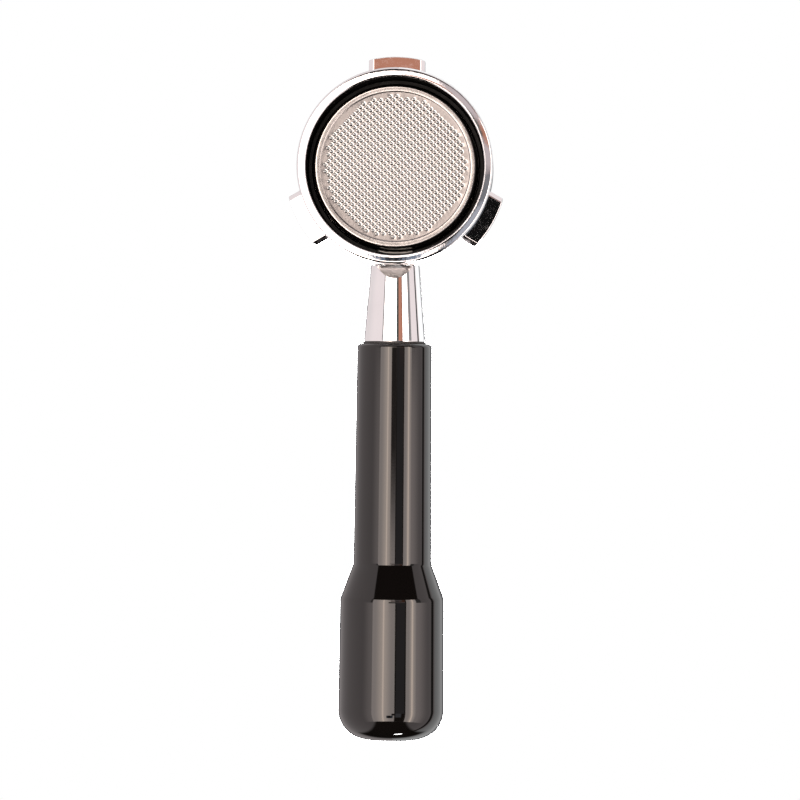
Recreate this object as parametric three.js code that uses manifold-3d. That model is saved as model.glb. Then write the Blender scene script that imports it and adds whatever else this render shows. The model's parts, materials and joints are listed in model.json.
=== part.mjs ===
// A bottomless portafilter: a chromed filter ring with three bayonet lugs, a pressed basket held by a wire
// spring, a tapered neck and a long moulded handle clamped on by a stud.
// Millimetres. The origin lies on the ring's axis, in the plane of its open lower face. +Z runs up to the
// mouth, where coffee goes in, and the handle runs along -Y.

import * as THREE from "three";
import { mergeVertices } from "three/addons/utils/BufferGeometryUtils.js";
import Module from "manifold-3d";

const wasm = await Module();
wasm.setup();

// ---- driving dimensions ----

const SEAT_GAP = 0.02; // between flat faces that rest on each other
const THREAD_GAP = 0.3; // between a plain-sided thread and its plain-sided hole

// Filter ring
const RING_R = 33.4;
const RING_HEIGHT = 27;
const RING_CHAMFER = 0.6;
const RELIEF_R = 30.3; // wide lower bore
const RELIEF_TOP = 17.5;
const LAND_R = 28.6; // narrower upper bore that guides the basket
const BORE_CHAMFER = 0.5;
const GROOVE_R = 29.95;
const GROOVE_HALF_WIDTH = 0.85;
const SPRING_Z = 21.5;

// Bayonet lugs, the first one opposite the handle
const LUG_COUNT = 3;
const LUG_TIP_R = 38.2;
const LUG_ROOT_R = 32;
const LUG_WIDTH = 19.3;
const LUG_Z = 15.5; // height of the bearing face at the middle of a lug
const LUG_TOP = 22.5;
const LUG_RAMP = THREE.MathUtils.degToRad(2.5);
const LUG_CHAMFER = 1.5;

// Boss that the neck is screwed to
const BOSS_WIDTH = 14.2;
const BOSS_FACE = 33.9; // distance of its flat face from the ring's axis
const BOSS_LOW = 9;
const BOSS_HIGH = 26.6;

// Handle axis. Distances named "along" are measured from the ring's axis towards the handle's end.
const AXIS_Z = 18.3;
const NECK_START = 34.2;
const NECK_END = 59.7;
const NECK_START_R = 8.35;
const NECK_END_R = 10.62;
const NECK_EDGE = 0.3;
const FACET_DEPTH = 2.5; // half-moon cut on the neck's underside, at the boss
const FACET_LENGTH = 4.2;
const WASHER_END = 60.4;

// Grip
const GRIP_START = 60.42;
const GRIP_START_R = 12.82;
const GRIP_CORNER_R = 1.35;
const CREASE_AT = 135.8;
const CREASE_R = 13.49;
const SHOULDER_AT = 147.8;
const SHOULDER_R = 17.94;
const BULGE_R = 18.29;
const END_FACE_AT = 196.3;
const END_CORNER_R = 10.4;
const HANDLE_END = 196.8;
const GRIP_BORE_R = 4.3;
const COUNTERBORE_R = 8.6;
const COUNTERBORE_AT = 179;

// Fasteners
const STUD_R = 4; // M8
const STUD_START = 49;
const STUD_END = 191;
const STUD_HOLE_END = 48.5;
const SCREW_R = 3; // M6 countersunk
const SCREW_HEAD_R = 5.7;
const SCREW_HEAD_AT = 30.9;
const SCREW_END = 46;
const SCREW_HOLE_END = 47;
const SCREW_SOCKET_ACROSS_FLATS = 4;
const SCREW_SOCKET_DEPTH = 1.8;
const SCREW_SINK_R = 6.2;
const END_WASHER_R = 8;
const END_WASHER_THICK = 1.6;
const LOCK_WASHER_R = 7.1;
const LOCK_WASHER_THICK = 2;
const LOCK_WASHER_SPLIT = 1.2;
const NUT_ACROSS_FLATS = 13;
const NUT_HEIGHT = 6.5;

// End plug
const PLUG_R = 8.3;
const PLUG_SKIRT_R = 6.9;
const PLUG_START = 191.4;
const PLUG_FLOOR = 194.4;
const PLUG_RECESS_R = 1.9;
const PLUG_RECESS_DEPTH = 0.6;

// Basket, pressed from sheet
const SHEET = 0.7;
const BASKET_FOOT = 7; // height of the raised rim round its floor
const BASKET_FLOOR = 7.4;
const FLOOR_R = 25.3;
const FOOT_INNER_R = 25.9;
const FOOT_OUTER_R = 26.7;
const FOOT_CORNER_R = 1.2;
const WALL_TOP_R = 28.25;
const FLANGE_R = 30.5;
const FLANGE_GAP = 0.05;
const FLANGE_FILLET = 0.6;

// Basket spring
const WIRE_R = 0.6;
const SPRING_R = 28.97;
const SPRING_OPENING = THREE.MathUtils.degToRad(24);

// Facets round a full turn
const FINE = 72;
const MEDIUM = 48;
const SMALL = 24;

// ---- materials ----

const finish = (color, roughness, metalness) => new THREE.MeshStandardMaterial({ color, roughness, metalness });
const CHROME = finish(0xd9dadb, 0.08, 1);
const STAINLESS = finish(0xc9c2bb, 0.32, 1);
const SPRING_STEEL = finish(0xa9a9a6, 0.3, 1);
const ZINC_STEEL = finish(0xb4b6b8, 0.35, 1);
const GLOSS_BLACK = finish(0x0c0b0b, 0.12, 0);
const WASHER_BLACK = finish(0x101010, 0.6, 0);

// ---- helpers ----

// A solid of revolution about +Z from a closed outline of [radius, height] points, listed anticlockwise
// with the radius to the right and the height upwards.
function turned(outline, segments) {
  const onAxis = outline[0][0] === 0 && outline.at(-1)[0] === 0;
  const points = (onAxis ? outline : [...outline, outline[0]]).map(([r, h]) => new THREE.Vector2(r, h));
  return new THREE.LatheGeometry(points, segments).rotateX(Math.PI / 2);
}

// The same about the handle's axis, from [radius, along] points, listed in the same sense.
function turnedAlongHandle(outline, segments) {
  return turned(outline, segments)
    .rotateX(Math.PI / 2)
    .translate(0, 0, AXIS_Z);
}

// Points of a quarter-like arc about [r, h], from one angle to another in degrees.
function arc(r, h, radius, from, to, steps) {
  return Array.from({ length: steps + 1 }, (_, i) => {
    const angle = THREE.MathUtils.degToRad(from + ((to - from) * i) / steps);
    return [r + radius * Math.cos(angle), h + radius * Math.sin(angle)];
  });
}

function solidOf(geometry) {
  const bare = geometry.index ? geometry.toNonIndexed() : geometry.clone();
  bare.deleteAttribute("normal");
  bare.deleteAttribute("uv");
  const merged = mergeVertices(bare, 1e-4);
  const corners = merged.index.array;
  const kept = [];
  for (let i = 0; i < corners.length; i += 3) {
    const [a, b, c] = [corners[i], corners[i + 1], corners[i + 2]];
    if (a !== b && b !== c && c !== a) kept.push(a, b, c);
  }
  const vertProperties = new Float32Array(merged.attributes.position.array);
  return new wasm.Manifold(new wasm.Mesh({ numProp: 3, vertProperties, triVerts: new Uint32Array(kept) }));
}

function geometryOf(solid) {
  const mesh = solid.getMesh();
  const geometry = new THREE.BufferGeometry();
  geometry.setAttribute("position", new THREE.BufferAttribute(new Float32Array(mesh.vertProperties), 3));
  geometry.setIndex(new THREE.BufferAttribute(new Uint32Array(mesh.triVerts), 1));
  geometry.computeVertexNormals();
  return geometry;
}

function combined(base, { add = [], cut = [] }) {
  let solid = solidOf(base);
  for (const piece of add) solid = solid.add(solidOf(piece));
  for (const piece of cut) solid = solid.subtract(solidOf(piece));
  return geometryOf(solid);
}

// A prism whose section lies across the handle's axis, between two distances along it.
function prismAlongHandle(shape, from, to) {
  return new THREE.ExtrudeGeometry(shape, { depth: to - from, bevelEnabled: false, curveSegments: SMALL / 2 })
    .translate(0, 0, from)
    .rotateX(Math.PI / 2)
    .translate(0, 0, AXIS_Z);
}

function hexagon(acrossFlats) {
  const corner = acrossFlats / Math.sqrt(3);
  const points = arc(0, 0, corner, 0, 300, 5).map(([x, y]) => new THREE.Vector2(x, y));
  return new THREE.Shape(points);
}

// ---- filter ring ----

function ringBody() {
  return turned(
    [
      [RELIEF_R + BORE_CHAMFER, 0],
      [RING_R - RING_CHAMFER, 0],
      [RING_R, RING_CHAMFER],
      [RING_R, RING_HEIGHT - RING_CHAMFER],
      [RING_R - RING_CHAMFER, RING_HEIGHT],
      [LAND_R + BORE_CHAMFER, RING_HEIGHT],
      [LAND_R, RING_HEIGHT - BORE_CHAMFER],
      [LAND_R, SPRING_Z + GROOVE_HALF_WIDTH],
      [GROOVE_R, SPRING_Z + GROOVE_HALF_WIDTH],
      [GROOVE_R, SPRING_Z - GROOVE_HALF_WIDTH],
      [LAND_R, SPRING_Z - GROOVE_HALF_WIDTH],
      [LAND_R, RELIEF_TOP + BORE_CHAMFER],
      [LAND_R + BORE_CHAMFER, RELIEF_TOP],
      [RELIEF_R, RELIEF_TOP],
      [RELIEF_R, BORE_CHAMFER],
    ],
    FINE,
  );
}

// One lug pointing along +Y: a block with a slightly ramped bearing face, bevelled ends and a rounded tip.
function lugBlock() {
  const half = LUG_WIDTH / 2;
  const inner = half - LUG_CHAMFER;
  const rise = inner * Math.tan(LUG_RAMP);
  const section = new THREE.Shape([
    new THREE.Vector2(-half, LUG_TOP),
    new THREE.Vector2(-half, LUG_Z - rise + LUG_CHAMFER),
    new THREE.Vector2(-inner, LUG_Z - rise),
    new THREE.Vector2(inner, LUG_Z + rise),
    new THREE.Vector2(half, LUG_Z + rise + LUG_CHAMFER),
    new THREE.Vector2(half, LUG_TOP),
  ]);
  const outward = new THREE.Matrix4().makeBasis(
    new THREE.Vector3(-1, 0, 0),
    new THREE.Vector3(0, 0, 1),
    new THREE.Vector3(0, 1, 0),
  );
  const block = new THREE.ExtrudeGeometry(section, { depth: LUG_TIP_R - LUG_ROOT_R, bevelEnabled: false })
    .translate(0, 0, LUG_ROOT_R)
    .applyMatrix4(outward);
  const tip = turned([[0, 0], [LUG_TIP_R, 0], [LUG_TIP_R, RING_HEIGHT], [0, RING_HEIGHT]], 2 * FINE);
  return geometryOf(solidOf(block).intersect(solidOf(tip)));
}

function filterRing() {
  const lugs = Array.from({ length: LUG_COUNT }, (_, i) => lugBlock().rotateZ((i * 2 * Math.PI) / LUG_COUNT));
  const bossDepth = BOSS_FACE - LUG_ROOT_R;
  const boss = new THREE.BoxGeometry(BOSS_WIDTH, bossDepth, BOSS_HIGH - BOSS_LOW).translate(
    0,
    -(LUG_ROOT_R + bossDepth / 2),
    (BOSS_LOW + BOSS_HIGH) / 2,
  );
  const shankHoleR = SCREW_R + THREAD_GAP;
  const sinkEnd = SCREW_HEAD_AT + SCREW_SINK_R - shankHoleR;
  const screwHole = turnedAlongHandle(
    [
      [0, LAND_R - 3],
      [SCREW_SINK_R, LAND_R - 3],
      [SCREW_SINK_R, SCREW_HEAD_AT],
      [shankHoleR, sinkEnd],
      [shankHoleR, BOSS_FACE + 1],
      [0, BOSS_FACE + 1],
    ],
    MEDIUM,
  );
  return combined(ringBody(), { add: [...lugs, boss], cut: [screwHole] });
}

// ---- neck and handle ----

function neck() {
  const screwHoleR = SCREW_R + THREAD_GAP;
  const studHoleR = STUD_R + THREAD_GAP;
  const body = turnedAlongHandle(
    [
      [0, SCREW_HOLE_END],
      [screwHoleR, SCREW_HOLE_END],
      [screwHoleR, NECK_START],
      [NECK_START_R - NECK_EDGE, NECK_START],
      [NECK_START_R, NECK_START + NECK_EDGE],
      [NECK_END_R, NECK_END - NECK_EDGE],
      [NECK_END_R - NECK_EDGE, NECK_END],
      [studHoleR, NECK_END],
      [studHoleR, STUD_HOLE_END],
      [0, STUD_HOLE_END],
    ],
    MEDIUM,
  );
  const taper = (NECK_END_R - NECK_START_R) / (NECK_END - NECK_START);
  const climb = FACET_DEPTH + taper * FACET_LENGTH;
  const size = 20;
  const facet = new THREE.BoxGeometry(size, size, size)
    .translate(0, -size / 2 + NECK_EDGE * 4, -size / 2)
    .rotateX(Math.atan2(climb, FACET_LENGTH))
    .translate(0, -NECK_START, AXIS_Z - NECK_START_R + FACET_DEPTH);
  return combined(body, { cut: [facet] });
}

function neckWasher() {
  return turnedAlongHandle(
    [
      [STUD_R + THREAD_GAP, NECK_END + SEAT_GAP],
      [NECK_END_R, NECK_END + SEAT_GAP],
      [NECK_END_R, WASHER_END],
      [STUD_R + THREAD_GAP, WASHER_END],
    ],
    MEDIUM,
  );
}

function handleGrip() {
  const cornerCentre = BULGE_R - END_CORNER_R;
  const rimAngle = THREE.MathUtils.radToDeg(Math.acos((COUNTERBORE_R - cornerCentre) / END_CORNER_R));
  return turnedAlongHandle(
    [
      [GRIP_BORE_R, GRIP_START],
      ...arc(GRIP_START_R - GRIP_CORNER_R, GRIP_START + GRIP_CORNER_R, GRIP_CORNER_R, -90, 0, 4),
      [CREASE_R, CREASE_AT],
      [SHOULDER_R, SHOULDER_AT],
      ...arc(cornerCentre, END_FACE_AT - END_CORNER_R, END_CORNER_R, 0, rimAngle, 7),
      [COUNTERBORE_R, COUNTERBORE_AT],
      [GRIP_BORE_R, COUNTERBORE_AT],
    ],
    MEDIUM,
  );
}

function endPlug() {
  return turnedAlongHandle(
    [
      [0, PLUG_FLOOR],
      [PLUG_SKIRT_R, PLUG_FLOOR],
      [PLUG_SKIRT_R, PLUG_START],
      [PLUG_R, PLUG_START],
      [PLUG_R, END_FACE_AT],
      [PLUG_R / 2, HANDLE_END - (HANDLE_END - END_FACE_AT) / 4],
      [PLUG_RECESS_R, HANDLE_END],
      [PLUG_RECESS_R - NECK_EDGE, HANDLE_END - PLUG_RECESS_DEPTH],
      [0, HANDLE_END - PLUG_RECESS_DEPTH],
    ],
    MEDIUM,
  );
}

// ---- fasteners ----

function neckScrew() {
  const body = turnedAlongHandle(
    [
      [0, SCREW_HEAD_AT],
      [SCREW_HEAD_R, SCREW_HEAD_AT],
      [SCREW_R, SCREW_HEAD_AT + SCREW_HEAD_R - SCREW_R],
      [SCREW_R, SCREW_END],
      [0, SCREW_END],
    ],
    SMALL,
  );
  const socketEnd = SCREW_HEAD_AT + SCREW_SOCKET_DEPTH;
  const socket = prismAlongHandle(hexagon(SCREW_SOCKET_ACROSS_FLATS), SCREW_HEAD_AT - 1, socketEnd);
  return combined(body, { cut: [socket] });
}

function tieStud() {
  return turnedAlongHandle([[0, STUD_START], [STUD_R, STUD_START], [STUD_R, STUD_END], [0, STUD_END]], SMALL);
}

function washer(outerR, from, thickness) {
  const holeR = STUD_R + THREAD_GAP;
  return turnedAlongHandle([[holeR, from], [outerR, from], [outerR, from + thickness], [holeR, from + thickness]], SMALL);
}

function lockWasher(from) {
  const split = new THREE.BoxGeometry(LOCK_WASHER_SPLIT, LOCK_WASHER_THICK * 2, LOCK_WASHER_R * 2).translate(
    0,
    -(from + LOCK_WASHER_THICK / 2),
    AXIS_Z + LOCK_WASHER_R,
  );
  return combined(washer(LOCK_WASHER_R, from, LOCK_WASHER_THICK), { cut: [split] });
}

function clampNut(from) {
  const outline = hexagon(NUT_ACROSS_FLATS);
  outline.holes.push(new THREE.Path().absarc(0, 0, STUD_R + THREAD_GAP, 0, 2 * Math.PI, true));
  return prismAlongHandle(outline, from, from + NUT_HEIGHT);
}

// ---- basket and its spring ----

function filterBasket() {
  const flangeZ = RING_HEIGHT + FLANGE_GAP;
  const innerTopR = WALL_TOP_R - SHEET;
  const innerFootR = FOOT_OUTER_R + FOOT_CORNER_R - SHEET;
  return turned(
    [
      [0, BASKET_FLOOR],
      [FLOOR_R, BASKET_FLOOR],
      [FOOT_INNER_R, BASKET_FOOT],
      ...arc(FOOT_OUTER_R, BASKET_FOOT + FOOT_CORNER_R, FOOT_CORNER_R, -90, 0, 3),
      [WALL_TOP_R, flangeZ - FLANGE_FILLET],
      [WALL_TOP_R + FLANGE_FILLET, flangeZ],
      [FLANGE_R, flangeZ],
      [FLANGE_R, flangeZ + SHEET],
      [innerTopR + FLANGE_FILLET, flangeZ + SHEET],
      [innerTopR, flangeZ + SHEET - FLANGE_FILLET],
      [innerFootR, BASKET_FLOOR + SHEET + FOOT_CORNER_R / 2],
      [innerFootR - FOOT_CORNER_R / 2, BASKET_FLOOR + SHEET],
      [0, BASKET_FLOOR + SHEET],
    ],
    FINE,
  );
}

class SpringCurve extends THREE.Curve {
  getPoint(t) {
    const angle = Math.PI / 2 + SPRING_OPENING / 2 + t * (2 * Math.PI - SPRING_OPENING);
    return new THREE.Vector3(SPRING_R * Math.cos(angle), SPRING_R * Math.sin(angle), 0);
  }
}

function basketSpring() {
  const section = new THREE.Shape().absarc(0, 0, WIRE_R, 0, 2 * Math.PI, false);
  return new THREE.ExtrudeGeometry(section, { steps: MEDIUM, curveSegments: 8, extrudePath: new SpringCurve() });
}

// ---- assembly ----

function piece(name, geometry, material) {
  const mesh = new THREE.Mesh(geometry, material);
  mesh.name = name;
  return mesh;
}

const ring = new THREE.Group();
ring.add(piece("filter_ring", filterRing(), CHROME));
ring.add(piece("neck_screw", neckScrew(), ZINC_STEEL));
ring.add(piece("neck", neck(), CHROME));

const basket = new THREE.Group();
basket.add(piece("filter_basket", filterBasket(), STAINLESS));
const spring = piece("basket_spring", basketSpring(), SPRING_STEEL);
spring.position.z = SPRING_Z;
basket.add(spring);

const endWasherAt = COUNTERBORE_AT + SEAT_GAP;
const lockWasherAt = endWasherAt + END_WASHER_THICK + SEAT_GAP;
const nutAt = lockWasherAt + LOCK_WASHER_THICK + SEAT_GAP;
const handle = new THREE.Group();
handle.add(piece("neck_washer", neckWasher(), WASHER_BLACK));
handle.add(piece("handle_grip", handleGrip(), GLOSS_BLACK));
handle.add(piece("end_plug", endPlug(), GLOSS_BLACK));
handle.add(piece("tie_stud", tieStud(), ZINC_STEEL));
handle.add(piece("end_washer", washer(END_WASHER_R, endWasherAt, END_WASHER_THICK), ZINC_STEEL));
handle.add(piece("lock_washer", lockWasher(lockWasherAt), SPRING_STEEL));
handle.add(piece("clamp_nut", clampNut(nutAt), ZINC_STEEL));

const portafilter = new THREE.Group();
portafilter.add(ring, basket, handle);

export default portafilter;
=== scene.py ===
"""A bottomless portafilter, seen from below in the light of two softboxes.

Metres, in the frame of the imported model: the ring's axis is Z, its open lower face lies at z = 0, its
mouth faces +Z, and the handle runs along -Y. Places along the handle are distances from the ring's axis.
Seven pieces are remade here as fine meshes, and the fasteners keep their solids.
"""

import json
from math import acos, atan2, cos, degrees, hypot, pi, radians, sin, tan

import bmesh
import bpy
from mathutils import Matrix, Vector
from mathutils.geometry import delaunay_2d_cdt


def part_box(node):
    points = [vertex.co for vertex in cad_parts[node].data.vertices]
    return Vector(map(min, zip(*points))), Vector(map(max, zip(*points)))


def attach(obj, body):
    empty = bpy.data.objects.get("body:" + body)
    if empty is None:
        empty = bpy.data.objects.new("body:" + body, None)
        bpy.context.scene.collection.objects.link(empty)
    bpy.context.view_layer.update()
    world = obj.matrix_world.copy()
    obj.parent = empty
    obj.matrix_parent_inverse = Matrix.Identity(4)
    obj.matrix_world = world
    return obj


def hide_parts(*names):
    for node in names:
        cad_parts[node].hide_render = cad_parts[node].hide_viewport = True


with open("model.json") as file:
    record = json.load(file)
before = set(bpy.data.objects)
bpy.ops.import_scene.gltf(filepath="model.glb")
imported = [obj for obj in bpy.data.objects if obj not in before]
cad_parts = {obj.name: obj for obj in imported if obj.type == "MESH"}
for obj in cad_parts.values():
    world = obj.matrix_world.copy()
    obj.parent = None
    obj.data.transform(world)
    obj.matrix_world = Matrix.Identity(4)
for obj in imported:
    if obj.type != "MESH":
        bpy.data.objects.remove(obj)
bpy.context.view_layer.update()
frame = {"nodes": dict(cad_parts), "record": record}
MM = 0.001
MICRON = 0.000001

# ---- the frame's own measures ----

RING_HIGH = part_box("filter_ring")[1]
BASKET_LOW, BASKET_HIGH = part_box("filter_basket")
NECK_LOW, NECK_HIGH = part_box("neck")
WASHER_LOW, WASHER_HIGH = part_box("neck_washer")
GRIP_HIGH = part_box("handle_grip")[1]
PLUG_LOW, PLUG_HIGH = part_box("end_plug")
SPRING_LOW, SPRING_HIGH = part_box("basket_spring")
SCREW_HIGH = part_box("neck_screw")[1]
STUD_LOW, STUD_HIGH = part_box("tie_stud")
HANDLE_Z = (STUD_LOW.z + STUD_HIGH.z) / 2
BODY_OF = {
    node: body
    for body, nodes in frame["record"]["behaviour"]["bodies"].items()
    for node in nodes
}

# ---- camera ----

VIEW_DISTANCE = 1.4
VIEW_WIDTH = 0.2713  # what the frame takes in at the ring's lower face
VIEW_SIDE_STEP = -0.040  # the camera stands a little to the side of the part's axis
VIEW_ROLL = radians(-0.57)
AIM = Vector((-0.0026, -0.0796, 0.0))


def make_camera():
    data = bpy.data.cameras.new("camera")
    data.sensor_width = 36.0
    data.lens = data.sensor_width * VIEW_DISTANCE / VIEW_WIDTH
    data.clip_start = 0.1
    data.clip_end = 50.0
    camera = bpy.data.objects.new("camera", data)
    bpy.context.scene.collection.objects.link(camera)
    camera.location = (VIEW_SIDE_STEP, AIM.y, -VIEW_DISTANCE)
    toward = (AIM - camera.location).normalized()
    up = Vector((0.0, 1.0, 0.0))
    right = toward.cross(up).normalized()
    up = right.cross(toward)
    upright = Matrix((right, up, -toward)).transposed()
    camera.rotation_mode = "QUATERNION"
    roll = Matrix.Rotation(VIEW_ROLL, 3, toward)
    camera.rotation_quaternion = (roll @ upright).to_quaternion()
    bpy.context.scene.camera = camera


make_camera()

# ---- shader helpers ----


class Nodes:
    """Short ways to add and join shader nodes in one tree."""

    def __init__(self, tree):
        self.tree = tree
        tree.nodes.clear()

    def add(self, kind, **settings):
        node = self.tree.nodes.new(kind)
        for name, value in settings.items():
            setattr(node, name, value)
        return node

    def join(self, source, target):
        self.tree.links.new(source, target)

    def feed(self, socket, value):
        if isinstance(value, bpy.types.NodeSocket):
            self.join(value, socket)
        else:
            socket.default_value = value

    def math(self, operation, a, b=0.0):
        node = self.add("ShaderNodeMath", operation=operation)
        self.feed(node.inputs[0], a)
        self.feed(node.inputs[1], b)
        return node.outputs[0]

    def ramp(self, value, low, high, to_low=0.0, to_high=1.0):
        node = self.add("ShaderNodeMapRange", interpolation_type="SMOOTHSTEP")
        self.feed(node.inputs["Value"], value)
        ends = {"From Min": low, "From Max": high, "To Min": to_low, "To Max": to_high}
        for name, number in ends.items():
            node.inputs[name].default_value = number
        return node.outputs["Result"]

    def band(self, value, low, high, soft):
        """1 between low and high, falling to 0 over the soft margin on each side."""
        rise = self.ramp(value, low - soft, low + soft)
        fall = self.ramp(value, high - soft, high + soft, 1.0, 0.0)
        return self.math("MULTIPLY", rise, fall)

    def mix(self, factor, a, b):
        node = self.add("ShaderNodeMix", data_type="RGBA", clamp_factor=True)
        self.feed(node.inputs[0], factor)
        self.feed(node.inputs[6], a)
        self.feed(node.inputs[7], b)
        return node.outputs[2]

    def noise(self, scale, detail=3.0, roughness=0.5, stretch=None):
        vector = self.add("ShaderNodeTexCoord").outputs["Object"]
        if stretch is not None:
            mapping = self.add("ShaderNodeMapping")
            self.join(vector, mapping.inputs["Vector"])
            mapping.inputs["Scale"].default_value = stretch
            vector = mapping.outputs["Vector"]
        node = self.add("ShaderNodeTexNoise")
        self.join(vector, node.inputs["Vector"])
        node.inputs["Scale"].default_value = scale
        node.inputs["Detail"].default_value = detail
        node.inputs["Roughness"].default_value = roughness
        return node.outputs["Fac"]

    def bump(self, height, distance, strength, normal=None):
        node = self.add("ShaderNodeBump")
        self.join(height, node.inputs["Height"])
        node.inputs["Distance"].default_value = distance
        node.inputs["Strength"].default_value = strength
        if normal is not None:
            self.join(normal, node.inputs["Normal"])
        return node.outputs["Normal"]

    def tint(self, shader, factor, dark, light):
        """Feeds the shader's base colour with a blend of two colours."""
        blend = self.mix(factor, (*dark, 1.0), (*light, 1.0))
        self.join(blend, shader.inputs["Base Color"])

    def gloss(self, shader, factor, low, high, smooth, rough):
        """Feeds the shader's roughness: smooth where the factor is low, rough where it is high."""
        self.join(self.ramp(factor, low, high, smooth, rough), shader.inputs["Roughness"])


def new_material(name):
    material = bpy.data.materials.new(name)
    material.use_nodes = True
    nodes = Nodes(material.node_tree)
    shader = nodes.add("ShaderNodeBsdfPrincipled")
    output = nodes.add("ShaderNodeOutputMaterial")
    nodes.join(shader.outputs[0], output.inputs["Surface"])
    return material, nodes, shader


def chrome_material():
    """Polished plate over a casting: a faint waviness, fine polishing haze and a few tiny pits."""
    material, nodes, shader = new_material("chromed_casting")
    shader.inputs["Metallic"].default_value = 1.0
    nodes.tint(shader, nodes.noise(90.0, 2.0), (0.70, 0.70, 0.71), (0.76, 0.76, 0.765))
    nodes.gloss(shader, nodes.noise(420.0, 4.0, 0.6), 0.35, 0.75, 0.035, 0.085)
    wave = nodes.bump(nodes.noise(160.0, 2.0), 8 * MICRON, 0.5)
    pits = nodes.bump(nodes.noise(2600.0, 3.0), 4 * MICRON, 0.35, wave)
    nodes.join(pits, shader.inputs["Normal"])
    return material


def ground_material():
    """The ring's foot: ground before plating, so streaky and a little hazy."""
    material, nodes, shader = new_material("ground_chrome")
    shader.inputs["Metallic"].default_value = 1.0
    cloud = nodes.noise(300.0, 3.0, 0.6)
    nodes.tint(shader, cloud, (0.64, 0.64, 0.65), (0.74, 0.74, 0.74))
    nodes.gloss(shader, cloud, 0.3, 0.7, 0.04, 0.1)
    streak = nodes.noise(900.0, 4.0, 0.65, stretch=(1.0, 0.35, 1.0))
    nodes.join(nodes.bump(streak, 40 * MICRON, 0.5), shader.inputs["Normal"])
    return material


def flat_satin_painted_light_material():
    """The small flat filed under the neck's root: a soft satin that the plate did not fill, its colour
    lightened above the chrome's as painted light.
    """
    material, nodes, shader = new_material("flat_satin_painted_light")
    shader.inputs["Metallic"].default_value = 1.0
    cloud = nodes.noise(500.0, 4.0, 0.65)
    # Lightened well above the chrome: painted light on the flat.
    nodes.tint(shader, cloud, (0.74, 0.72, 0.71), (0.97, 0.95, 0.94))
    nodes.gloss(shader, cloud, 0.3, 0.7, 0.28, 0.45)
    nodes.join(nodes.bump(cloud, 30 * MICRON, 0.5), shader.inputs["Normal"])
    return material


def bore_material():
    """The inside of the ring: near black and satin, with a faint shine."""
    material, nodes, shader = new_material("dark_bore")
    shader.inputs["Specular IOR Level"].default_value = 0.12
    cloud = nodes.noise(260.0, 4.0, 0.6)
    nodes.tint(shader, cloud, (0.0015, 0.0015, 0.0014), (0.004, 0.004, 0.0035))
    nodes.gloss(shader, cloud, 0.3, 0.7, 0.26, 0.4)
    nodes.join(nodes.bump(nodes.noise(3000.0, 3.0), 10 * MICRON, 0.3), shader.inputs["Normal"])
    return material


def stainless_material(name, tint, rough_low, rough_high, grain_scale, grain_height):
    """Pressed stainless sheet with a fine rolled grain and cloudy satin."""
    material, nodes, shader = new_material(name)
    shader.inputs["Metallic"].default_value = 1.0
    cloud = nodes.noise(330.0, 4.0, 0.6)
    nodes.tint(shader, cloud, [c * 0.9 for c in tint], [c * 1.06 for c in tint])
    nodes.gloss(shader, cloud, 0.3, 0.7, rough_low, rough_high)
    grain = nodes.noise(grain_scale, 4.0, 0.65, stretch=(1.0, 0.55, 1.0))
    nodes.join(nodes.bump(grain, grain_height, 0.6), shader.inputs["Normal"])
    return material


def plated_steel_material():
    """Zinc plate: a bluish to yellowish cloud and a dull shine."""
    material, nodes, shader = new_material("plated_steel")
    shader.inputs["Metallic"].default_value = 1.0
    cloud = nodes.noise(220.0, 4.0, 0.6)
    nodes.tint(shader, cloud, (0.52, 0.54, 0.56), (0.72, 0.72, 0.70))
    nodes.gloss(shader, cloud, 0.3, 0.7, 0.28, 0.42)
    nodes.join(nodes.bump(nodes.noise(2400.0, 3.0), 12 * MICRON, 0.5), shader.inputs["Normal"])
    return material


def gloss_black_material():
    """High-gloss black moulding with a trace of waviness and wiping haze."""
    material, nodes, shader = new_material("gloss_black")
    shader.inputs["IOR"].default_value = 1.52
    nodes.tint(shader, nodes.noise(70.0, 3.0), (0.0018, 0.0015, 0.0014), (0.0032, 0.0027, 0.0025))
    wiping = nodes.noise(300.0, 4.0, 0.6, stretch=(1.0, 0.15, 1.0))
    nodes.gloss(shader, wiping, 0.35, 0.8, 0.03, 0.075)
    wave = nodes.bump(nodes.noise(55.0, 2.0, stretch=(1.0, 0.35, 1.0)), 20 * MICRON, 0.35)
    peel = nodes.bump(nodes.noise(1500.0, 2.0), 3 * MICRON, 0.25, wave)
    nodes.join(peel, shader.inputs["Normal"])
    return material


def washer_material():
    """Matt black fibre with a fine grain."""
    material, nodes, shader = new_material("black_washer")
    grain = nodes.noise(900.0, 4.0, 0.6)
    nodes.tint(shader, grain, (0.010, 0.010, 0.010), (0.022, 0.021, 0.021))
    nodes.gloss(shader, grain, 0.3, 0.7, 0.5, 0.7)
    nodes.join(nodes.bump(grain, 30 * MICRON, 0.6), shader.inputs["Normal"])
    return material


CHROME = chrome_material()
GROUND = ground_material()
FLAT_SATIN_PAINTED_LIGHT = flat_satin_painted_light_material()
BORE = bore_material()
# Name, colour, lowest and highest roughness, scale and height of the grain.
BASKET_STEEL = stainless_material("stainless_sheet", (0.44, 0.425, 0.415), 0.155, 0.18, 1700.0, 20 * MICRON)
# The floor's flat underside is the same sheet at about half its colour: painted shade, with a rougher satin.
SHADED_FLOOR_STEEL = stainless_material("floor_satin_painted_shade", (0.215, 0.206, 0.203), 0.24, 0.34, 1700.0, 40 * MICRON)
PUNCHED_STEEL = stainless_material("punched_wall", (0.39, 0.395, 0.39), 0.12, 0.18, 2600.0, 10 * MICRON)
SPRING_STEEL = stainless_material("spring_steel", (0.60, 0.59, 0.57), 0.26, 0.36, 2600.0, 10 * MICRON)
PLATED_STEEL = plated_steel_material()
GLOSS_BLACK = gloss_black_material()
WASHER_BLACK = washer_material()

# ---- mesh helpers ----

SMOOTH_ANGLE = radians(32)


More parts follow.
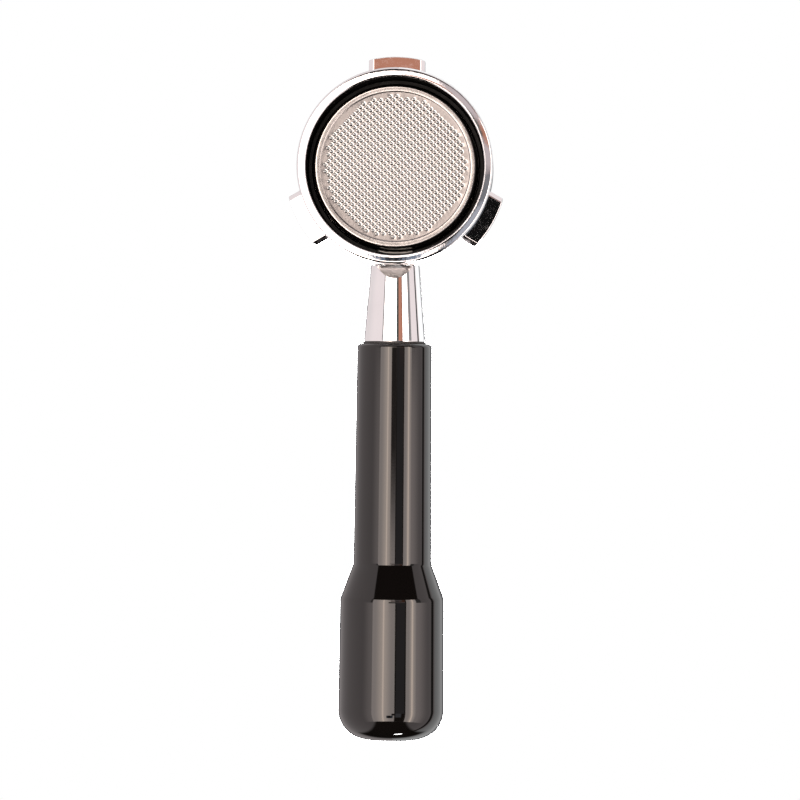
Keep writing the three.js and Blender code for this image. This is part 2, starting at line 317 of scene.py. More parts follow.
def object_from(name, vertices, faces, *materials):
    mesh = bpy.data.meshes.new(name)
    mesh.from_pydata([tuple(v) for v in vertices], [], faces)
    mesh.update()
    for material in materials:
        mesh.materials.append(material)
    made = bpy.data.objects.new(name, mesh)
    bpy.context.scene.collection.objects.link(made)
    return made


def arc(r, h, radius, start, end, steps):
    """Points (radius, height) of an arc about (r, h), from one angle to another in degrees."""
    angles = [radians(start + (end - start) * i / steps) for i in range(steps + 1)]
    return [(r + radius * cos(a), h + radius * sin(a)) for a in angles]


def rounded(outline, radii, steps=4):
    """The closed outline with each named corner replaced by an arc of its radius, in the same order."""
    points = []
    count = len(outline)
    for i, corner in enumerate(outline):
        radius = radii.get(i, 0.0)
        if not radius:
            points.append(tuple(corner))
            continue
        here = Vector(corner)
        before = (Vector(outline[i - 1]) - here).normalized()
        after = (Vector(outline[(i + 1) % count]) - here).normalized()
        half = acos(max(-1.0, min(1.0, before.dot(after)))) / 2
        reach = radius / tan(half)
        middle = here + (before + after).normalized() * (radius / sin(half))
        start, end = here + before * reach - middle, here + after * reach - middle
        a0 = atan2(start.y, start.x)
        swing = atan2(end.y, end.x) - a0
        swing = (swing + pi) % (2 * pi) - pi
        for k in range(steps + 1):
            a = a0 + swing * k / steps
            points.append((middle.x + radius * cos(a), middle.y + radius * sin(a)))
    return points


def turned_mesh(outline, segments, along_handle=False, closed=True):
    """Vertices and faces of an outline of (radius, height) turned about +Z, or about the handle's axis
    with the height measured along the handle. The outline runs anticlockwise, radius to the right."""
    vertices, rings = [], []
    for r, h in outline:
        ring = []
        for k in range(segments if r > 1e-9 else 1):
            a = 2 * pi * k / segments
            ring.append(len(vertices))
            if along_handle:
                vertices.append((r * cos(a), -h, HANDLE_Z + r * sin(a)))
            else:
                vertices.append((r * cos(a), r * sin(a), h))
        rings.append(ring)
    faces = []
    above = rings[1:] + rings[:1] if closed else rings[1:]
    for low, high in zip(rings, above):
        if len(low) == 1 and len(high) == 1:
            continue
        for k in range(segments):
            n = (k + 1) % segments
            if len(low) == 1:
                faces.append((low[0], high[n], high[k]))
            elif len(high) == 1:
                faces.append((low[k], low[n], high[0]))
            else:
                faces.append((low[k], low[n], high[n], high[k]))
    return vertices, faces


def turned(name, outline, segments, *materials, along_handle=False):
    vertices, faces = turned_mesh(outline, segments, along_handle)
    made = object_from(name, vertices, faces, *materials)
    recalculate(made)
    return made


def recalculate(made):
    """Merges doubled vertices and turns the faces outwards."""
    mesh = bmesh.new()
    mesh.from_mesh(made.data)
    bmesh.ops.remove_doubles(mesh, verts=mesh.verts, dist=1e-7)
    bmesh.ops.recalc_face_normals(mesh, faces=mesh.faces)
    mesh.to_mesh(made.data)
    mesh.free()


def apply_modifiers(made):
    graph = bpy.context.evaluated_depsgraph_get()
    mesh = bpy.data.meshes.new_from_object(made.evaluated_get(graph), depsgraph=graph)
    made.modifiers.clear()
    made.data = mesh


def combine(made, other, operation):
    """Joins, cuts or intersects made with other, which is used up."""
    modifier = made.modifiers.new("combine", "BOOLEAN")
    modifier.operation = operation
    modifier.solver = "EXACT"
    modifier.object = other
    apply_modifiers(made)
    bpy.data.objects.remove(other)


def bevel(made, width):
    modifier = made.modifiers.new("edges", "BEVEL")
    modifier.width = width
    modifier.segments = 3
    modifier.limit_method = "ANGLE"
    modifier.angle_limit = radians(30)
    modifier.use_clamp_overlap = True
    apply_modifiers(made)


def finish_surface(made, angle=SMOOTH_ANGLE):
    """Smooth shading that keeps flats flat and true corners sharp."""
    made.data.polygons.foreach_set("use_smooth", [True] * len(made.data.polygons))
    made.data.set_sharp_from_angle(angle=angle)
    modifier = made.modifiers.new("normals", "WEIGHTED_NORMAL")
    modifier.keep_sharp = True
    modifier.weight = 50
    apply_modifiers(made)


def block(name, low, high):
    xs, ys, zs = zip(low, high)
    corners = [(x, y, z) for z in zs for y in ys for x in xs]
    faces = [(0, 2, 3, 1), (4, 5, 7, 6), (0, 1, 5, 4), (2, 6, 7, 3), (0, 4, 6, 2), (1, 3, 7, 5)]
    return object_from(name, corners, faces)


def place(made, node):
    """Puts the piece on the body of the CAD node that it stands for."""
    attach(made, BODY_OF[node])
    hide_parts(node)


# ---- filter ring ----

RING_R = 33.4 * MM
RING_TOP = RING_HIGH.z
RELIEF_R = 30.3 * MM
RELIEF_TOP = 17.5 * MM
LAND_R = 28.6 * MM
GROOVE_R = 29.95 * MM
GROOVE_HALF = 0.85 * MM
SPRING_Z = (SPRING_LOW.z + SPRING_HIGH.z) / 2
FOOT_LIP = 0.45 * MM  # the chamfer round the foot's inner edge
FOOT_FALL = 0.36 * MM  # the foot's face falls away from its inner edge in a shallow curve
FOOT_CURVE = 1.15
EDGE_WIDTH, EDGE_HEIGHT = 0.55 * MM, 0.6 * MM  # the chamfer round its outer edge, before rounding
CHROME_LIP = 1.2 * MM  # how far the chrome reaches down into the mouth before the dark bore begins
LUG_TIP_R = RING_HIGH.y
LUG_ROOT_R = 32.0 * MM
LUG_HALF_WIDTH = 9.65 * MM
LUG_Z = 15.5 * MM
LUG_TOP = 22.5 * MM
LUG_RAMP = radians(2.5)
LUG_CHAMFER = 1.5 * MM
LUG_EDGE = 0.45 * MM
LUG_DRAFT = radians(6.5)  # the bearing face also rises a little towards the tip
BOSS_HALF_WIDTH = 7.1 * MM
BOSS_FACE = 33.46 * MM
BOSS_LOW, BOSS_HIGH = 9.0 * MM, 26.6 * MM
BOSS_EDGE = 0.3 * MM
SINK_R = 6.2 * MM
SCREW_HOLE_R = 3.3 * MM
FINE = 240  # sides of the ring


def ring_outline():
    """The ring's wall from the foot's inner edge, anticlockwise: foot, outside, mouth, groove and relief."""
    foot_inner = RELIEF_R + FOOT_LIP
    foot_width = RING_R - EDGE_WIDTH - foot_inner
    outline = [
        (foot_inner, 0.0),
        (foot_inner + foot_width, FOOT_FALL),
        (RING_R, FOOT_FALL + EDGE_HEIGHT),
        (RING_R, RING_TOP),
        (LAND_R, RING_TOP),
        (LAND_R, SPRING_Z + GROOVE_HALF),
        (GROOVE_R, SPRING_Z + GROOVE_HALF),
        (GROOVE_R, SPRING_Z - GROOVE_HALF),
        (LAND_R, SPRING_Z - GROOVE_HALF),
        (LAND_R, RELIEF_TOP),
        (RELIEF_R, RELIEF_TOP),
        (RELIEF_R, FOOT_LIP),
    ]
    radii = [0.15, 0.6, 1.1, 0.8, 0.5, 0.1, 0.2, 0.2, 0.1, 0.4, 0.4, 0.2]
    corner_steps = 4
    points = rounded(outline, {i: r * MM for i, r in enumerate(radii)}, corner_steps)
    first_corner, rest = points[: corner_steps + 1], points[corner_steps + 1 :]
    foot = []
    for share in (k / 8 for k in range(2, 7)):
        foot.append((foot_inner + foot_width * share, FOOT_FALL * share**FOOT_CURVE))
    return first_corner + foot + rest


def lug(index):
    """One bayonet lug: a block with a ramped bearing face, bevelled ends and a rounded tip."""
    inner = LUG_HALF_WIDTH - LUG_CHAMFER
    rise = inner * tan(LUG_RAMP)
    section = [
        (-LUG_HALF_WIDTH, LUG_TOP),
        (-LUG_HALF_WIDTH, LUG_Z - rise + LUG_CHAMFER),
        (-inner, LUG_Z - rise),
        (inner, LUG_Z + rise),
        (LUG_HALF_WIDTH, LUG_Z + rise + LUG_CHAMFER),
        (LUG_HALF_WIDTH, LUG_TOP),
    ]
    reach = LUG_TIP_R + 2 * MM
    root_drop = (RING_R - LUG_ROOT_R) * tan(LUG_DRAFT)
    tip_rise = (reach - RING_R) * tan(LUG_DRAFT)
    vertices = [(-t, LUG_ROOT_R, z - (root_drop if z < LUG_TOP else 0.0)) for t, z in section]
    vertices += [(-t, reach, z + (tip_rise if z < LUG_TOP else 0.0)) for t, z in section]
    count = len(section)
    faces = [tuple(range(count)), tuple(reversed(range(count, 2 * count)))]
    faces += [(i, i + count, (i + 1) % count + count, (i + 1) % count) for i in range(count)]
    made = object_from(f"lug_{index}", vertices, faces)
    recalculate(made)
    tip_outline = [(0.0, 0.0), (LUG_TIP_R, 0.0), (LUG_TIP_R, RING_TOP), (0.0, RING_TOP)]
    combine(made, turned("lug_tip", tip_outline, 2 * FINE), "INTERSECT")
    bevel(made, LUG_EDGE)
    made.data.transform(Matrix.Rotation(2 * pi * index / 3, 4, "Z"))
    return made


def screw_cutter():
    """What the neck screw's clearance hole and countersink take out of the ring's wall."""
    head_at = -SCREW_HIGH.y
    inside, outside = LAND_R - 3 * MM, BOSS_FACE + MM
    outline = [
        (0.0, inside),
        (SINK_R, inside),
        (SINK_R, head_at),
        (SCREW_HOLE_R, head_at + SINK_R - SCREW_HOLE_R),
        (SCREW_HOLE_R, outside),
        (0.0, outside),
    ]
    return turned("screw_hole", outline, 64, along_handle=True)


def use_materials(made, materials, pick):
    """Gives each face the material whose number pick(face) returns."""
    made.data.materials.clear()
    for material in materials:
        made.data.materials.append(material)
    for face in made.data.polygons:
        face.material_index = pick(face)


def make_ring():
    ring = turned("chromed_ring", ring_outline(), FINE)
    for index in range(3):
        combine(ring, lug(index), "UNION")
    boss_low = (-BOSS_HALF_WIDTH, -BOSS_FACE, BOSS_LOW)
    boss_high = (BOSS_HALF_WIDTH, -LUG_ROOT_R, BOSS_HIGH)
    boss = block("boss", boss_low, boss_high)
    bevel(boss, BOSS_EDGE)
    combine(ring, boss, "UNION")
    combine(ring, screw_cutter(), "DIFFERENCE")
    bore_edge = RELIEF_R + 0.12 * MM
    vertices = ring.data.vertices

    def finish_of(face):
        x, y, z = face.center
        in_bore = all(hypot(*vertices[v].co[:2]) < bore_edge for v in face.vertices)
        in_sink = hypot(x, z - HANDLE_Z) < SINK_R and BOSS_EDGE - BOSS_FACE < y < 0.0
        if in_sink or in_bore and z < RING_TOP - CHROME_LIP:
            return 1
        on_foot = z < FOOT_FALL and face.normal.z < -0.9
        return 2 if on_foot else 0

    use_materials(ring, (CHROME, BORE, GROUND), finish_of)
    finish_surface(ring)
    place(ring, "filter_ring")
    return ring


# ---- neck and handle ----

NECK_START, NECK_END = BOSS_FACE + 40 * MICRON, -NECK_LOW.y
NECK_START_R = 8.35 * MM
NECK_END_R = NECK_HIGH.x
FACET_DEPTH = 2.8 * MM
FACET_LENGTH = 4.5 * MM
STUD_HOLE_R = 4.3 * MM
SCREW_HOLE_END, STUD_HOLE_START = 47.0 * MM, 48.5 * MM


def make_neck():
    """A turned cone with blind holes for the screw and the stud, and a small flat cut under its root."""
    outline = [
        (0.0, SCREW_HOLE_END),
        (SCREW_HOLE_R, SCREW_HOLE_END),
        (SCREW_HOLE_R, NECK_START),
        (NECK_START_R, NECK_START),
        (NECK_END_R, NECK_END),
        (STUD_HOLE_R, NECK_END),
        (STUD_HOLE_R, STUD_HOLE_START),
        (0.0, STUD_HOLE_START),
    ]
    outline = rounded(outline, {3: 0.3 * MM, 4: 0.3 * MM}, steps=3)
    neck = turned("chromed_neck", outline, 192, CHROME, along_handle=True)
    climb = FACET_DEPTH + (NECK_END_R - NECK_START_R) * FACET_LENGTH / (NECK_END - NECK_START)
    tilt_angle = atan2(climb, FACET_LENGTH)
    size = 20 * MM
    cutter = block("facet", (-size / 2, -size, -size), (size / 2, size / 8, 0.0))
    tilt = Matrix.Rotation(tilt_angle, 4, "X")
    seat = Matrix.Translation((0.0, -NECK_START, HANDLE_Z - NECK_START_R + FACET_DEPTH))
    cutter.data.transform(seat @ tilt)
    combine(neck, cutter, "DIFFERENCE")
    flat_normal = Vector((0.0, sin(tilt_angle), -cos(tilt_angle)))
    # The flat takes the lightened satin: painted light.
    use_materials(neck, (CHROME, FLAT_SATIN_PAINTED_LIGHT), lambda face: int(face.normal.dot(flat_normal) > 0.9999))
    finish_surface(neck, radians(20))
    place(neck, "neck")
    return neck


def make_washer():
    front, back = -WASHER_HIGH.y, -WASHER_LOW.y
    outer = WASHER_HIGH.x
    outline = [(STUD_HOLE_R, front), (outer, front), (outer, back), (STUD_HOLE_R, back)]
    outline = rounded(outline, {1: 0.15 * MM, 2: 0.15 * MM})
    washer = turned("black_neck_washer", outline, 128, WASHER_BLACK, along_handle=True)
    finish_surface(washer)
    place(washer, "neck_washer")
    return washer


GRIP_START = -GRIP_HIGH.y
GRIP_START_R = 12.82 * MM
CREASE_AT, CREASE_R = 135.8 * MM, 13.49 * MM
SHOULDER_AT, SHOULDER_R = 147.8 * MM, 17.94 * MM
BULGE_R = GRIP_HIGH.x
END_CORNER_R = 10.4 * MM
END_FACE_AT = 196.3 * MM
GRIP_BORE_R = 4.3 * MM
COUNTERBORE_R = 8.6 * MM
COUNTERBORE_AT = 179.0 * MM


def make_grip():
    """The handle: a slim tapering front, a cone, a thicker rear half and a round end with a counterbore."""
    corner = BULGE_R - END_CORNER_R
    rim_angle = degrees(acos((COUNTERBORE_R - corner) / END_CORNER_R))
    front = [
        (GRIP_BORE_R, COUNTERBORE_AT),
        (GRIP_BORE_R, GRIP_START),
        (GRIP_START_R, GRIP_START),
        (CREASE_R, CREASE_AT),
        (SHOULDER_R, SHOULDER_AT),
        (BULGE_R, END_FACE_AT - END_CORNER_R),
    ]
    front = rounded(front, {1: 0.3 * MM, 2: 1.35 * MM, 3: 2.5 * MM, 4: 5.0 * MM}, steps=8)
    outline = [
        *front[1:-1],
        *arc(corner, END_FACE_AT - END_CORNER_R, END_CORNER_R, 0.0, rim_angle, 28),
        (COUNTERBORE_R, COUNTERBORE_AT),
        (GRIP_BORE_R, COUNTERBORE_AT),
    ]
    grip = turned("gloss_grip", outline, 192, GLOSS_BLACK, along_handle=True)
    finish_surface(grip)
    place(grip, "handle_grip")
    return grip


PLUG_HOLLOW_R, PLUG_HOLLOW_END = 6.9 * MM, 194.4 * MM
PLUG_RECESS_R, PLUG_RECESS_DEPTH = 1.9 * MM, 0.6 * MM


def make_plug():
    """A cup pressed into the grip's end, with a crowned face and a small recess at its middle."""
    start, end = -PLUG_HIGH.y, -PLUG_LOW.y
    radius = PLUG_HIGH.x
    crown = end - END_FACE_AT
    face = [(radius * k / 8, END_FACE_AT + crown * (1 - (k / 8) ** 2)) for k in range(8, 1, -1)]
    outline = [
        (0.0, PLUG_HOLLOW_END),
        (PLUG_HOLLOW_R, PLUG_HOLLOW_END),
        (PLUG_HOLLOW_R, start),
        (radius, start),
        *face,
        (PLUG_RECESS_R, end - crown * (PLUG_RECESS_R / radius) ** 2),
        (PLUG_RECESS_R - 0.3 * MM, end - PLUG_RECESS_DEPTH),
        (0.0, end - PLUG_RECESS_DEPTH),
    ]
    outline = rounded(outline, {4: 0.35 * MM, 11: 0.15 * MM})
    plug = turned("gloss_end_plug", outline, 128, GLOSS_BLACK, along_handle=True)
    finish_surface(plug)
    place(plug, "end_plug")
    return plug


# ---- basket ----

SHEET = 0.7 * MM
FLOOR_Z = 7.4 * MM
FLOOR_R = 25.3 * MM
FOOT_Z = BASKET_LOW.z
FOOT_INNER_R = 25.9 * MM
FOOT_OUTER_R = 26.95 * MM
FOOT_CORNER_R = 0.95 * MM
WALL_TOP_R = 28.25 * MM
FLANGE_R = BASKET_HIGH.x
FLANGE_TOP = BASKET_HIGH.z
HOLE_PITCH = 1.61 * MM
HOLE_ROWS = 14  # rows each side of the middle one
HOLE_FIELD_R = 24.0 * MM
HOLE_TURN = radians(45 - 1.75)
HOLE_R = 0.12 * MM
# Radius and depth of a dimple's rings, mm: a shallow dish, then a steep throat down to the hole.
DIMPLE = [(0.78, 0.0), (0.71, 0.02), (0.57, 0.065), (0.43, 0.115), (0.36, 0.16), (0.26, 0.33), (0.16, 0.55)]
HOLE_SIDES = 14
BASKET_SIDES = 192
BEND_R = 0.6 * MM  # the sheet's bends under and inside the flange and inside the floor's edge


def hole_centres():
    """A square grid of holes, turned, kept inside a round field."""
    steps = range(-HOLE_ROWS, HOLE_ROWS + 1)
    grid = [(i * HOLE_PITCH, j * HOLE_PITCH) for i in steps for j in steps]
    turn = Matrix.Rotation(HOLE_TURN, 2)
    return [turn @ Vector(p) for p in grid if hypot(*p) < HOLE_FIELD_R]


def circle(centre, radius, sides):
    angles = [2 * pi * k / sides for k in range(sides)]
    return [centre + Vector((radius * cos(a), radius * sin(a))) for a in angles]


def pierced_disc(radius, centres, hole_r):
    """Vertices and triangles of a flat disc with round holes."""
    outer = circle(Vector((0.0, 0.0)), radius, BASKET_SIDES)
    holes = [circle(c, hole_r, HOLE_SIDES) for c in centres]
    points = outer
    loops = [list(range(len(points)))]
    for loop in holes:
        loops.append(list(range(len(points), len(points) + len(loop))))
        points += loop
    edges = [(a, b) for loop in loops for a, b in zip(loop, loop[1:] + loop[:1])]
    hole_of = [None] * len(points)
    for number, loop in enumerate(loops[1:]):
        for index in loop:
            hole_of[index] = number
    found = delaunay_2d_cdt(points, edges, [], 1, 1e-9, True)
    vertices, faces, origins = found[0], found[2], found[3]
    kept = []
    for face in faces:
        owners = {hole_of[origins[v][0]] if origins[v] else None for v in face}
        fills_a_hole = len(owners) == 1 and None not in owners
        if not fills_a_hole:
            kept.append(tuple(face))
    return vertices, kept


def basket_shell():
    """The foot, wall and flange, from the floor's underside round to its upper side."""
    corner_top = FOOT_Z + FOOT_CORNER_R
    inner_top_r = WALL_TOP_R - SHEET
    inner_foot_r = FOOT_OUTER_R + FOOT_CORNER_R - SHEET
    under = FLANGE_TOP - SHEET
    under_bend, floor_top = under - BEND_R, FLOOR_Z + SHEET
    return [
        (FLOOR_R, FLOOR_Z),
        (FLOOR_R + 0.18 * MM, FLOOR_Z - 0.05 * MM),
        (FOOT_INNER_R - 0.15 * MM, FOOT_Z + 0.06 * MM),
        (FOOT_INNER_R, FOOT_Z),
        *arc(FOOT_OUTER_R, corner_top, FOOT_CORNER_R, -90, 0, 10),
        (WALL_TOP_R, under_bend),
        *arc(WALL_TOP_R + BEND_R, under_bend, BEND_R, 180, 90, 6)[1:],
        (FLANGE_R - SHEET / 2, under),
        *arc(FLANGE_R - SHEET / 2, under + SHEET / 2, SHEET / 2, -90, 90, 8)[1:],
        *arc(inner_top_r + BEND_R, FLANGE_TOP - BEND_R, BEND_R, 90, 180, 6),
        (inner_foot_r, floor_top + 0.9 * MM),
        *arc(inner_foot_r - BEND_R, floor_top + BEND_R, BEND_R, 0, -90, 6)[1:-1],
        (inner_foot_r - BEND_R, floor_top),
    ]


def make_basket():
    """The shell, the floor's two pierced sides, and a dimple from one to the other at each hole."""
    shell = basket_shell()
    vertices, faces = turned_mesh(shell, BASKET_SIDES, closed=False)
    centres = hole_centres()
    levels = [(r * MM, FLOOR_Z + depth * MM) for r, depth in DIMPLE] + [(HOLE_R, FLOOR_Z + SHEET)]
    side_ends = []
    for outer_r, (hole_r, z) in ((FLOOR_R, levels[0]), (shell[-1][0], levels[-1])):
        points, triangles = pierced_disc(outer_r, centres, hole_r)
        start = len(vertices)
        vertices += [(p.x, p.y, z) for p in points]
        faces += [tuple(start + v for v in triangle) for triangle in triangles]
        side_ends.append(len(faces))
    under_end, dimples_start = side_ends
    for centre in centres:
        start = len(vertices)
        for r, z in levels:
            vertices += [(p.x, p.y, z) for p in circle(centre, r, HOLE_SIDES)]
        for level in range(len(levels) - 1):
            low, high = start + level * HOLE_SIDES, start + (level + 1) * HOLE_SIDES
            for k in range(HOLE_SIDES):
                n = (k + 1) % HOLE_SIDES
                faces.append((low + k, low + n, high + n, high + k))
    basket = object_from("pierced_basket", vertices, faces, BASKET_STEEL, SHADED_FLOOR_STEEL, PUNCHED_STEEL)
    # The floor's flat underside takes the darker copy of the sheet: painted shade.
    for face in basket.data.polygons[:under_end]:
        x, y, z = face.center
        on_floor = z < FLOOR_Z + 0.1 * MM and hypot(x, y) < FOOT_INNER_R - 0.1 * MM
        face.material_index = 1 if on_floor else 0
    for face in basket.data.polygons[dimples_start:]:
        face.material_index = 2
    recalculate(basket)
    finish_surface(basket, radians(40))
    place(basket, "filter_basket")
    return basket


# ---- spring ----


def make_spring():
    """An open ring of round wire, its gap at the side away from the handle."""
    wire = (SPRING_HIGH.z - SPRING_LOW.z) / 2
    radius = SPRING_HIGH.x - wire
    opening = radians(24)
    steps, sides = 180, 16
    vertices, faces = [], []
    for i in range(steps + 1):
        a = pi / 2 + opening / 2 + (2 * pi - opening) * i / steps
        for k in range(sides):
            b = 2 * pi * k / sides
            r = radius + wire * cos(b)
            vertices.append((r * cos(a), r * sin(a), SPRING_Z + wire * sin(b)))
    for i in range(steps):
        for k in range(sides):
            n = (k + 1) % sides
            faces.append((i * sides + k, i * sides + n, (i + 1) * sides + n, (i + 1) * sides + k))
    faces.append(tuple(range(sides)))
    faces.append(tuple(range(steps * sides, (steps + 1) * sides)))
    spring = object_from("wire_spring", vertices, faces, SPRING_STEEL)
    recalculate(spring)
    finish_surface(spring)
    place(spring, "basket_spring")
    return spring


make_ring()
make_neck()
make_washer()
make_grip()
make_plug()
make_basket()
make_spring()

# The fasteners keep their solids, with a finish of their own.
for node, material in (
    ("neck_screw", PLATED_STEEL),
    ("tie_stud", PLATED_STEEL),
    ("end_washer", PLATED_STEEL),
    ("lock_washer", SPRING_STEEL),
    ("clamp_nut", PLATED_STEEL),
):
    solid = frame["nodes"][node]
    solid.data.materials.clear()
    solid.data.materials.append(material)

# ---- surroundings ----

FLOOR_HALF = 6.0
FLOOR_GAP = 0.3 * MM


def make_floor():
    """A pale floor just under the part. It is seen from above only, so the view from below is open."""
    corners = [(-1, -1), (1, -1), (1, 1), (-1, 1)]
    corners = [(x * FLOOR_HALF, y * FLOOR_HALF, -FLOOR_GAP) for x, y in corners]
    floor = object_from("floor", corners, [(0, 1, 2, 3)])
    material, nodes, shader = new_material("pale_floor")
    nodes.tint(shader, nodes.noise(3.0, 2.0), (0.80, 0.80, 0.80), (0.84, 0.84, 0.84))
    shader.inputs["Roughness"].default_value = 0.6
    shader.inputs["Specular IOR Level"].default_value = 0.1
    clear = nodes.add("ShaderNodeBsdfTransparent")
    choice = nodes.add("ShaderNodeMixShader")
    side = nodes.add("ShaderNodeNewGeometry")
    surface = shader.outputs[0].links[0].to_socket
    nodes.join(side.outputs["Backfacing"], choice.inputs[0])
    nodes.join(shader.outputs[0], choice.inputs[1])
    nodes.join(clear.outputs[0], choice.inputs[2])
    nodes.join(choice.outputs[0], surface)
    floor.data.materials.append(material)
    floor.visible_glossy = False
    floor.visible_diffuse = False
    floor.visible_transmission = False
    floor.visible_shadow = False


# Colours round the part. Those above 1 give light.
ROOM = (1.11, 0.985, 0.983, 1.0)
SIDE_ROOM = (0.98, 0.89, 0.89, 1.0)
BACKDROP = (1.35, 1.35, 1.35, 1.0)
CEILING = (0.30, 0.30, 0.31, 1.0)
SOFTBOX_FACE = (4.0, 3.5, 3.3, 1.0)
SOFTBOX_GLOW = (7.0, 5.9, 5.2, 1.0)
SOFTBOX_TUBE = (11.5, 9.4, 8.0, 1.0)
DARK = (0.006, 0.006, 0.006, 1.0)
NEAR_BLACK = (0.05, 0.05, 0.05, 1.0)
SHADE = (0.10, 0.115, 0.11, 1.0)
COPPER = (0.62, 0.27, 0.18, 1.0)
SLATE = (0.24, 0.30, 0.40, 1.0)
PINK_GREY = (0.74, 0.63, 0.64, 1.0)
BLUE_GREY = (0.52, 0.53, 0.60, 1.0)
DIM_GREY = (0.24, 0.24, 0.26, 1.0)
FRAME_GREY = (0.33, 0.32, 0.32, 1.0)
WHITE = (1.0, 1.0, 1.0, 1.0)
# Angles in degrees: across is from straight down towards -X, lengthwise is towards +Y.
SOFTBOX_END = 36.0  # on the handle's side
SOFTBOX_NEAR_END = 25.0  # on the ring's side
# Across: low edge, high edge, the tube inside and how far its glow reaches.
SOFTBOXES = ((-41.0, 9.0, -16.0, 20.0), (33.5, 57.0, 48.0, 9.0))
SOFT_EDGE = 0.8
# The gap between the softboxes, across, and what shows in it on the ring's side.
GAP = (8.0, 35.0)
GAP_PARTS = ((SHADE, 10.0, 17.5), (COPPER, 17.5, 31.0))
# The glow beside each softbox: its colour, and the angles across where it starts and is full.
SPILL = (((2.1, 1.85, 1.8, 1.0), -66.0, -41.0), ((3.1, 2.7, 2.6, 1.0), 92.0, 54.0))
# Small things about the camera that only the flat faces pick up: colour, across and lengthwise.
SMALL_THINGS = (
    (COPPER, (-1.0, 10.0), (13.2, 20.0)),
    (PINK_GREY, (8.0, 24.0), (13.5, SOFTBOX_NEAR_END)),
    (PINK_GREY, (9.5, 31.0), (2.0, 8.5)),
    (BLUE_GREY, (11.5, 24.0), (-20.0, -5.0)),
    (DIM_GREY, (11.5, 31.0), (-5.0, 2.0)),
    (SLATE, (-8.0, 6.0), (-23.0, -13.5)),
    (DARK, (-4.2, 0.8), (-23.0, -13.5)),
    (DARK, (3.0, 11.5), (-13.0, -5.2)),
)


class Surroundings:
    """The world's colour by direction, built up from patches, each over what came before."""

    def __init__(self, nodes):
        self.nodes = nodes
        split = nodes.add("ShaderNodeSeparateXYZ")
        nodes.join(nodes.add("ShaderNodeTexCoord").outputs["Generated"], split.inputs[0])
        self.x, self.y, self.z = x, y, z = split.outputs
        down = nodes.math("MULTIPLY", z, -1.0)
        left = nodes.math("MULTIPLY", x, -1.0)
        self.across = nodes.math("MULTIPLY", nodes.math("ARCTAN2", left, down), degrees(1.0))
        flat = nodes.math("ADD", nodes.math("MULTIPLY", x, x), nodes.math("MULTIPLY", z, z))
        rise = nodes.math("ARCTAN2", y, nodes.math("SQRT", flat))
        self.lengthwise = nodes.math("MULTIPLY", rise, degrees(1.0))
        self.colour = ROOM

    def cover(self, mask, tint):
        self.colour = self.nodes.mix(mask, self.colour, tint)

    def patch(self, tint, across_range, lengthwise_range, soft=SOFT_EDGE, strength=1.0):
        mask = self.nodes.band(self.across, *across_range, soft)
        along = self.nodes.band(self.lengthwise, *lengthwise_range, soft)
        mask = self.nodes.math("MULTIPLY", mask, along)
        self.cover(self.nodes.math("MULTIPLY", mask, strength), tint)

    def spill(self, tint, start, full):
        """A glow on the handle's side that grows from one angle across to another."""
        beside = self.nodes.band(self.lengthwise, -SOFTBOX_END, 1.5, SOFT_EDGE)
        mask = self.nodes.math("MULTIPLY", self.nodes.ramp(self.across, start, full), beside)
        beyond = self.nodes.band(self.across, min(start, full), max(start, full), SOFT_EDGE)
        self.cover(self.nodes.math("MULTIPLY", mask, beyond), tint)

    def softbox(self, low, high, tube, reach):
        ends = (-SOFTBOX_END, SOFTBOX_NEAR_END)
        self.patch(SOFTBOX_FACE, (low, high), ends)
        rise = self.nodes.ramp(self.across, tube - reach, tube)
        fall = self.nodes.ramp(self.across, tube, tube + reach, 1.0, 0.0)
        along = self.nodes.band(self.lengthwise, *ends, SOFT_EDGE)
        glow = self.nodes.math("MULTIPLY", self.nodes.math("MULTIPLY", rise, fall), along)
        self.cover(self.nodes.math("MULTIPLY", glow, 0.9), SOFTBOX_GLOW)
        self.patch(SOFTBOX_TUBE, (tube - 1.5, tube + 1.5), ends, 1.5, 0.7)

    def far_block(self):
        """Something large and dark behind the handle's end."""
        mask = self.nodes.band(self.x, -0.52, 0.48, 0.06)
        mask = self.nodes.math("MULTIPLY", mask, self.nodes.ramp(self.y, -0.60, -0.57, 1.0, 0.0))
        mask = self.nodes.math("MULTIPLY", mask, self.nodes.ramp(self.z, 0.46, 0.62, 1.0, 0.0))
        self.cover(mask, DARK)


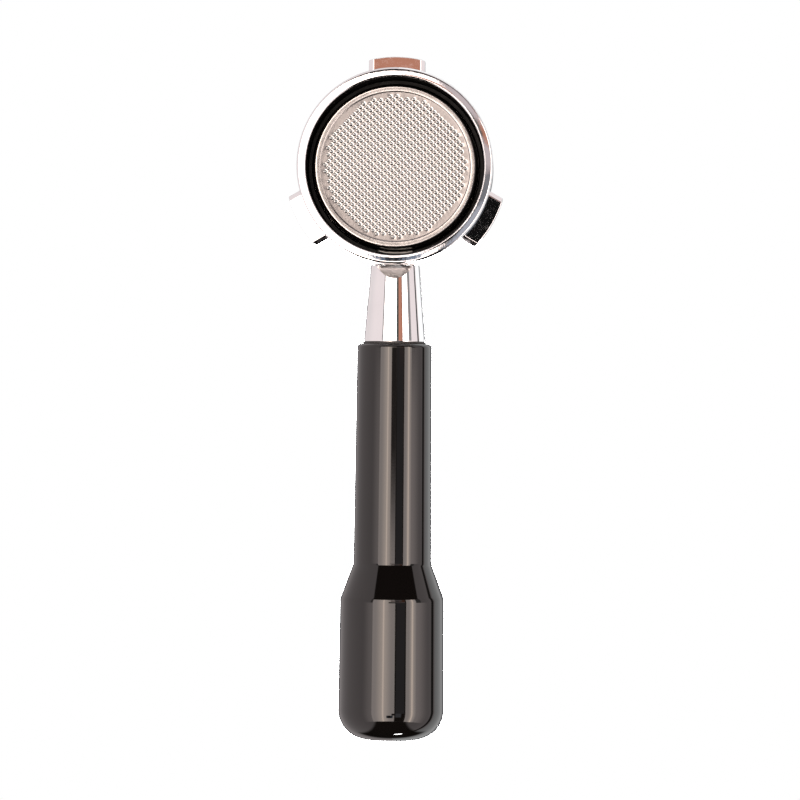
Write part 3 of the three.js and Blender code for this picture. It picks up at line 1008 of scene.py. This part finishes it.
def make_world():
    """Two softboxes below the part with a dark gap between them, in a pale room."""
    world = bpy.data.worlds.new("studio")
    bpy.context.scene.world = world
    world.use_nodes = True
    nodes = Nodes(world.node_tree)
    around = Surroundings(nodes)
    ends = (-SOFTBOX_END, SOFTBOX_NEAR_END)
    ring_side = (1.0, SOFTBOX_NEAR_END)
    # Past the softboxes' near ends it is dark, and their frames stand about them.
    around.patch(DARK, (-44.0, 67.0), (SOFTBOX_NEAR_END, 50.0), 1.5)
    around.patch(FRAME_GREY, (-46.0, 69.0), (2.0, SOFTBOX_NEAR_END))
    around.patch(DARK, GAP, ends)
    for tint, low, high in GAP_PARTS:
        around.patch(tint, (low, high), ring_side)
    for tint, start, full in SPILL:
        around.spill(tint, start, full)
    for softbox in SOFTBOXES:
        around.softbox(*softbox)
    # The camera, in front of the first softbox.
    around.patch(NEAR_BLACK, (-5.5, 9.5), (-0.6, 8.5), 1.1, 0.97)
    for tint, across_range, lengthwise_range in SMALL_THINGS:
        around.patch(tint, across_range, lengthwise_range)
    # Above the horizon: a dark edge on one side, the white backdrop and a dimmer ceiling.
    around.cover(nodes.band(around.across, 99.0, 107.0, 1.5), NEAR_BLACK)
    around.cover(nodes.ramp(around.across, 108.0, 114.0), BACKDROP)
    around.cover(nodes.ramp(around.across, -80.0, -130.0), SIDE_ROOM)
    around.cover(nodes.ramp(around.z, 0.78, 0.92), CEILING)
    around.far_block()
    # The camera itself sees plain white behind the part.
    around.cover(nodes.add("ShaderNodeLightPath").outputs["Is Camera Ray"], WHITE)
    background = nodes.add("ShaderNodeBackground")
    nodes.join(around.colour, background.inputs["Color"])
    output = nodes.add("ShaderNodeOutputWorld")
    nodes.join(background.outputs[0], output.inputs["Surface"])


def make_lamp(name, place_at, aim, width, height, power):
    """A soft lamp that lights the part but isn't seen. Its power is in watts."""
    data = bpy.data.lights.new(name, "AREA")
    data.shape = "ELLIPSE"
    data.size = width
    data.size_y = height
    data.energy = power
    lamp = bpy.data.objects.new(name, data)
    bpy.context.scene.collection.objects.link(lamp)
    lamp.location = place_at
    lamp.rotation_mode = "QUATERNION"
    lamp.rotation_quaternion = (Vector(aim) - Vector(place_at)).to_track_quat("-Z", "Y")
    lamp.visible_camera = False


make_floor()
make_world()
make_lamp("key_above", (0.1, -0.25, 1.5), (0.0, -0.08, 0.0), 0.6, 0.6, 22.0)
make_lamp("end_lamp", (-0.22, -1.6, 0.16), (0.0, -0.2, 0.0), 0.26, 0.11, 3.0)
bpy.context.scene.view_settings.view_transform = "Standard"
